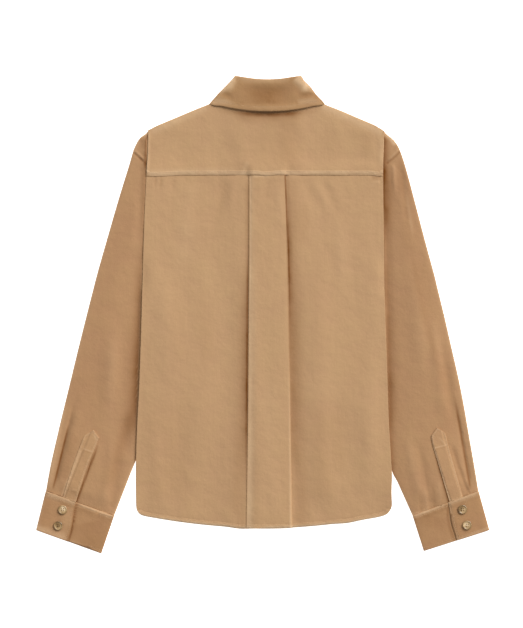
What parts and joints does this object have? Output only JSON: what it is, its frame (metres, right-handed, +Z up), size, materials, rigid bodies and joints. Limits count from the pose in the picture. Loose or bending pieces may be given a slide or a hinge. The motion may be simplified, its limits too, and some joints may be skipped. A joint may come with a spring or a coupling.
{
  "type": "corduroy overshirt",
  "caption": "Corduroy overshirt laid face down: yoke, back with a box pleat, folded collar, long sleeves with plackets and buttoned cuffs, plain buttoned front.",
  "frame": {"origin": "centre of the bounding box's lower face, on the surface that the shirt lies on", "axes": "+Z up, out of the shirt's back; +Y from the hem to the collar; +X to the wearer's right"},
  "size_m": [0.7049, 0.7424, 0.0118],
  "materials": {
    "body_corduroy": "fine-wale corduroy, matte nap",
    "collar_corduroy": "fine-wale corduroy, matte nap",
    "sleeve_corduroy": "fine-wale corduroy, matte nap",
    "horn": "mottled horn, satin"
  },
  "bodies": {
    "root": {"back": "body_corduroy", "yoke": "body_corduroy", "front_left": "body_corduroy", "front_right": "body_corduroy", "band_left": "body_corduroy", "band_right": "body_corduroy", "collar_stand": "collar_corduroy", "collar_leaf": "collar_corduroy", "sleeve_left": "sleeve_corduroy", "sleeve_right": "sleeve_corduroy", "placket_left": "sleeve_corduroy", "placket_right": "sleeve_corduroy", "cuff_left": "sleeve_corduroy", "cuff_right": "sleeve_corduroy", "cuff_button_left_1": "horn", "cuff_button_left_2": "horn", "cuff_button_right_1": "horn", "cuff_button_right_2": "horn", "front_button_1": "horn", "front_button_2": "horn", "front_button_3": "horn", "front_button_4": "horn", "front_button_5": "horn", "front_button_6": "horn", "neck_button": "horn"}
  },
  "joints": []
}
